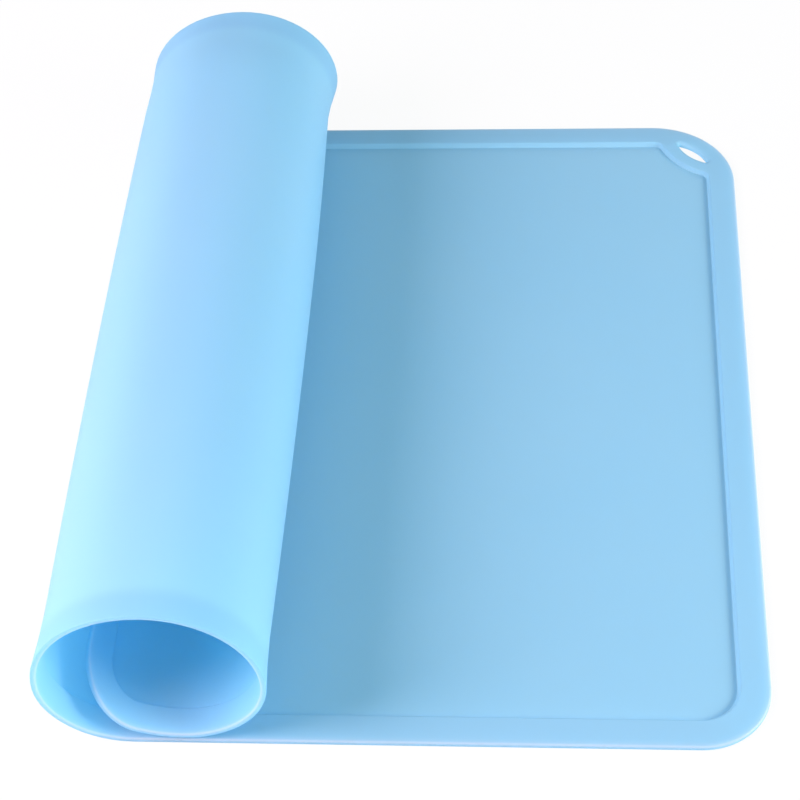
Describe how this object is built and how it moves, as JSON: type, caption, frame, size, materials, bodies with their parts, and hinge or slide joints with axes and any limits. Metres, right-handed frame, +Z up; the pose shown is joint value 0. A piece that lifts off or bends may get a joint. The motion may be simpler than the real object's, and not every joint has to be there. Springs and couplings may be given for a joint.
{
  "type": "silicone pastry mat",
  "caption": "Thin rectangular silicone mat with rounded corners, a raised rim and a lens-shaped hanging hole, rolled up at one end; dough is worked on its field.",
  "frame": {"origin": "on the surface that the mat lies on, under the middle of the part-rolled mat's bounding box", "axes": "+X along the mat, from the roll to the flat end; +Y along the roll, towards the edge with the hanging hole; +Z up"},
  "size_m": [0.3134, 0.4, 0.0915],
  "materials": {
    "silicone": "satin light-blue moulded silicone"
  },
  "bodies": {
    "flat_panel": {"flat_panel": "silicone"},
    "roll_strip_01": {"roll_strip_01": "silicone"},
    "roll_strip_02": {"roll_strip_02": "silicone"},
    "roll_strip_03": {"roll_strip_03": "silicone"},
    "roll_strip_04": {"roll_strip_04": "silicone"},
    "roll_strip_05": {"roll_strip_05": "silicone"},
    "roll_strip_06": {"roll_strip_06": "silicone"},
    "roll_strip_07": {"roll_strip_07": "silicone"},
    "roll_strip_08": {"roll_strip_08": "silicone"},
    "roll_strip_09": {"roll_strip_09": "silicone"},
    "roll_strip_10": {"roll_strip_10": "silicone"},
    "roll_strip_11": {"roll_strip_11": "silicone"},
    "roll_strip_12": {"roll_strip_12": "silicone"},
    "roll_strip_13": {"roll_strip_13": "silicone"},
    "roll_strip_14": {"roll_strip_14": "silicone"},
    "roll_strip_15": {"roll_strip_15": "silicone"},
    "roll_strip_16": {"roll_strip_16": "silicone"},
    "roll_strip_17": {"roll_strip_17": "silicone"},
    "roll_strip_18": {"roll_strip_18": "silicone"},
    "roll_strip_19": {"roll_strip_19": "silicone"},
    "roll_strip_20": {"roll_strip_20": "silicone"},
    "roll_strip_21": {"roll_strip_21": "silicone"},
    "roll_strip_22": {"roll_strip_22": "silicone"},
    "roll_strip_23": {"roll_strip_23": "silicone"},
    "roll_strip_24": {"roll_strip_24": "silicone"},
    "roll_strip_25": {"roll_strip_25": "silicone"},
    "roll_strip_26": {"roll_strip_26": "silicone"},
    "roll_strip_27": {"roll_strip_27": "silicone"},
    "roll_strip_28": {"roll_strip_28": "silicone"},
    "roll_strip_29": {"roll_strip_29": "silicone"},
    "roll_strip_30": {"roll_strip_30": "silicone"},
    "roll_strip_31": {"roll_strip_31": "silicone"},
    "roll_strip_32": {"roll_strip_32": "silicone"},
    "roll_strip_33": {"roll_strip_33": "silicone"},
    "roll_strip_34": {"roll_strip_34": "silicone"},
    "roll_strip_35": {"roll_strip_35": "silicone"},
    "roll_strip_36": {"roll_strip_36": "silicone"},
    "free_end_strip": {"free_end_strip": "silicone"}
  },
  "joints": [
    {"name": "unroll", "type": "hinge", "parent": "flat_panel", "child": "roll_strip_01", "pos_m": [-0.12202, 0, 0], "axis": [0, -1, 0], "range_deg": [0, 11.25]},
    {"name": "unroll_bend_02", "type": "hinge", "parent": "roll_strip_01", "child": "roll_strip_02", "pos_m": [-0.12946, 0, 0.00148], "axis": [0, -1, 0], "range_deg": [0, 11.25]},
    {"name": "unroll_bend_03", "type": "hinge", "parent": "roll_strip_02", "child": "roll_strip_03", "pos_m": [-0.13647, 0, 0.00438], "axis": [0, -1, 0], "range_deg": [0, 11.25]},
    {"name": "unroll_bend_04", "type": "hinge", "parent": "roll_strip_03", "child": "roll_strip_04", "pos_m": [-0.14277, 0, 0.0086], "axis": [0, -1, 0], "range_deg": [0, 11.25]},
    {"name": "unroll_bend_05", "type": "hinge", "parent": "roll_strip_04", "child": "roll_strip_05", "pos_m": [-0.14814, 0, 0.01396], "axis": [0, -1, 0], "range_deg": [0, 11.25]},
    {"name": "unroll_bend_06", "type": "hinge", "parent": "roll_strip_05", "child": "roll_strip_06", "pos_m": [-0.15235, 0, 0.02026], "axis": [0, -1, 0], "range_deg": [0, 11.25]},
    {"name": "unroll_bend_07", "type": "hinge", "parent": "roll_strip_06", "child": "roll_strip_07", "pos_m": [-0.15525, 0, 0.02727], "axis": [0, -1, 0], "range_deg": [0, 11.25]},
    {"name": "unroll_bend_08", "type": "hinge", "parent": "roll_strip_07", "child": "roll_strip_08", "pos_m": [-0.15673, 0, 0.03471], "axis": [0, -1, 0], "range_deg": [0, 11.25]},
    {"name": "unroll_bend_09", "type": "hinge", "parent": "roll_strip_08", "child": "roll_strip_09", "pos_m": [-0.15673, 0, 0.04372], "axis": [0, -1, 0], "range_deg": [0, 11.25]},
    {"name": "unroll_bend_10", "type": "hinge", "parent": "roll_strip_09", "child": "roll_strip_10", "pos_m": [-0.15469, 0, 0.05396], "axis": [0, -1, 0], "range_deg": [0, 11.25]},
    {"name": "unroll_bend_11", "type": "hinge", "parent": "roll_strip_10", "child": "roll_strip_11", "pos_m": [-0.1507, 0, 0.0636], "axis": [0, -1, 0], "range_deg": [0, 11.25]},
    {"name": "unroll_bend_12", "type": "hinge", "parent": "roll_strip_11", "child": "roll_strip_12", "pos_m": [-0.1449, 0, 0.07229], "axis": [0, -1, 0], "range_deg": [0, 11.25]},
    {"name": "unroll_bend_13", "type": "hinge", "parent": "roll_strip_12", "child": "roll_strip_13", "pos_m": [-0.13752, 0, 0.07967], "axis": [0, -1, 0], "range_deg": [0, 11.25]},
    {"name": "unroll_bend_14", "type": "hinge", "parent": "roll_strip_13", "child": "roll_strip_14", "pos_m": [-0.12884, 0, 0.08547], "axis": [0, -1, 0], "range_deg": [0, 11.25]},
    {"name": "unroll_bend_15", "type": "hinge", "parent": "roll_strip_14", "child": "roll_strip_15", "pos_m": [-0.11919, 0, 0.08946], "axis": [0, -1, 0], "range_deg": [0, 11.25]},
    {"name": "unroll_bend_16", "type": "hinge", "parent": "roll_strip_15", "child": "roll_strip_16", "pos_m": [-0.10895, 0, 0.0915], "axis": [0, -1, 0], "range_deg": [0, 11.25]},
    {"name": "unroll_bend_17", "type": "hinge", "parent": "roll_strip_16", "child": "roll_strip_17", "pos_m": [-0.09907, 0, 0.0915], "axis": [0, -1, 0], "range_deg": [0, 11.25]},
    {"name": "unroll_bend_18", "type": "hinge", "parent": "roll_strip_17", "child": "roll_strip_18", "pos_m": [-0.08993, 0, 0.08968], "axis": [0, -1, 0], "range_deg": [0, 11.25]},
    {"name": "unroll_bend_19", "type": "hinge", "parent": "roll_strip_18", "child": "roll_strip_19", "pos_m": [-0.08133, 0, 0.08612], "axis": [0, -1, 0], "range_deg": [0, 11.25]},
    {"name": "unroll_bend_20", "type": "hinge", "parent": "roll_strip_19", "child": "roll_strip_20", "pos_m": [-0.07358, 0, 0.08094], "axis": [0, -1, 0], "range_deg": [0, 11.25]},
    {"name": "unroll_bend_21", "type": "hinge", "parent": "roll_strip_20", "child": "roll_strip_21", "pos_m": [-0.06699, 0, 0.07435], "axis": [0, -1, 0], "range_deg": [0, 11.25]},
    {"name": "unroll_bend_22", "type": "hinge", "parent": "roll_strip_21", "child": "roll_strip_22", "pos_m": [-0.06181, 0, 0.0666], "axis": [0, -1, 0], "range_deg": [0, 11.25]},
    {"name": "unroll_bend_23", "type": "hinge", "parent": "roll_strip_22", "child": "roll_strip_23", "pos_m": [-0.05825, 0, 0.058], "axis": [0, -1, 0], "range_deg": [0, 11.25]},
    {"name": "unroll_bend_24", "type": "hinge", "parent": "roll_strip_23", "child": "roll_strip_24", "pos_m": [-0.05643, 0, 0.04886], "axis": [0, -1, 0], "range_deg": [0, 11.25]},
    {"name": "unroll_bend_25", "type": "hinge", "parent": "roll_strip_24", "child": "roll_strip_25", "pos_m": [-0.05643, 0, 0.04022], "axis": [0, -1, 0], "range_deg": [0, 11.25]},
    {"name": "unroll_bend_26", "type": "hinge", "parent": "roll_strip_25", "child": "roll_strip_26", "pos_m": [-0.05798, 0, 0.03242], "axis": [0, -1, 0], "range_deg": [0, 11.25]},
    {"name": "unroll_bend_27", "type": "hinge", "parent": "roll_strip_26", "child": "roll_strip_27", "pos_m": [-0.06103, 0, 0.02506], "axis": [0, -1, 0], "range_deg": [0, 11.25]},
    {"name": "unroll_bend_28", "type": "hinge", "parent": "roll_strip_27", "child": "roll_strip_28", "pos_m": [-0.06545, 0, 0.01845], "axis": [0, -1, 0], "range_deg": [0, 11.25]},
    {"name": "unroll_bend_29", "type": "hinge", "parent": "roll_strip_28", "child": "roll_strip_29", "pos_m": [-0.07108, 0, 0.01282], "axis": [0, -1, 0], "range_deg": [0, 11.25]},
    {"name": "unroll_bend_30", "type": "hinge", "parent": "roll_strip_29", "child": "roll_strip_30", "pos_m": [-0.0777, 0, 0.0084], "axis": [0, -1, 0], "range_deg": [0, 11.25]},
    {"name": "unroll_bend_31", "type": "hinge", "parent": "roll_strip_30", "child": "roll_strip_31", "pos_m": [-0.08505, 0, 0.00535], "axis": [0, -1, 0], "range_deg": [0, 11.25]},
    {"name": "unroll_bend_32", "type": "hinge", "parent": "roll_strip_31", "child": "roll_strip_32", "pos_m": [-0.09285, 0, 0.0038], "axis": [0, -1, 0], "range_deg": [0, 11.25]},
    {"name": "unroll_bend_33", "type": "hinge", "parent": "roll_strip_32", "child": "roll_strip_33", "pos_m": [-0.1018, 0, 0.0038], "axis": [0, -1, 0], "range_deg": [0, 11.34]},
    {"name": "unroll_bend_34", "type": "hinge", "parent": "roll_strip_33", "child": "roll_strip_34", "pos_m": [-0.11153, 0, 0.00575], "axis": [0, -1, 0], "range_deg": [0, 11.34]},
    {"name": "unroll_bend_35", "type": "hinge", "parent": "roll_strip_34", "child": "roll_strip_35", "pos_m": [-0.12069, 0, 0.00958], "axis": [0, -1, 0], "range_deg": [0, 11.34]},
    {"name": "unroll_bend_36", "type": "hinge", "parent": "roll_strip_35", "child": "roll_strip_36", "pos_m": [-0.12892, 0, 0.01514], "axis": [0, -1, 0], "range_deg": [0, 11.34]},
    {"name": "unroll_bend_37", "type": "hinge", "parent": "roll_strip_36", "child": "free_end_strip", "pos_m": [-0.1359, 0, 0.0222], "axis": [0, -1, 0], "range_deg": [0, 11.34]}
  ],
  "couplings": [
    {"joint": "unroll_bend_02", "follows": "unroll", "ratio": 1},
    {"joint": "unroll_bend_03", "follows": "unroll", "ratio": 1},
    {"joint": "unroll_bend_04", "follows": "unroll", "ratio": 1},
    {"joint": "unroll_bend_05", "follows": "unroll", "ratio": 1},
    {"joint": "unroll_bend_06", "follows": "unroll", "ratio": 1},
    {"joint": "unroll_bend_07", "follows": "unroll", "ratio": 1},
    {"joint": "unroll_bend_08", "follows": "unroll", "ratio": 1},
    {"joint": "unroll_bend_09", "follows": "unroll", "ratio": 1},
    {"joint": "unroll_bend_10", "follows": "unroll", "ratio": 1},
    {"joint": "unroll_bend_11", "follows": "unroll", "ratio": 1},
    {"joint": "unroll_bend_12", "follows": "unroll", "ratio": 1},
    {"joint": "unroll_bend_13", "follows": "unroll", "ratio": 1},
    {"joint": "unroll_bend_14", "follows": "unroll", "ratio": 1},
    {"joint": "unroll_bend_15", "follows": "unroll", "ratio": 1},
    {"joint": "unroll_bend_16", "follows": "unroll", "ratio": 1},
    {"joint": "unroll_bend_17", "follows": "unroll", "ratio": 1},
    {"joint": "unroll_bend_18", "follows": "unroll", "ratio": 1},
    {"joint": "unroll_bend_19", "follows": "unroll", "ratio": 1},
    {"joint": "unroll_bend_20", "follows": "unroll", "ratio": 1},
    {"joint": "unroll_bend_21", "follows": "unroll", "ratio": 1},
    {"joint": "unroll_bend_22", "follows": "unroll", "ratio": 1},
    {"joint": "unroll_bend_23", "follows": "unroll", "ratio": 1},
    {"joint": "unroll_bend_24", "follows": "unroll", "ratio": 1},
    {"joint": "unroll_bend_25", "follows": "unroll", "ratio": 1},
    {"joint": "unroll_bend_26", "follows": "unroll", "ratio": 1},
    {"joint": "unroll_bend_27", "follows": "unroll", "ratio": 1},
    {"joint": "unroll_bend_28", "follows": "unroll", "ratio": 1},
    {"joint": "unroll_bend_29", "follows": "unroll", "ratio": 1},
    {"joint": "unroll_bend_30", "follows": "unroll", "ratio": 1},
    {"joint": "unroll_bend_31", "follows": "unroll", "ratio": 1},
    {"joint": "unroll_bend_32", "follows": "unroll", "ratio": 1},
    {"joint": "unroll_bend_33", "follows": "unroll", "ratio": 1.008},
    {"joint": "unroll_bend_34", "follows": "unroll", "ratio": 1.008},
    {"joint": "unroll_bend_35", "follows": "unroll", "ratio": 1.008},
    {"joint": "unroll_bend_36", "follows": "unroll", "ratio": 1.008},
    {"joint": "unroll_bend_37", "follows": "unroll", "ratio": 1.008}
  ]
}
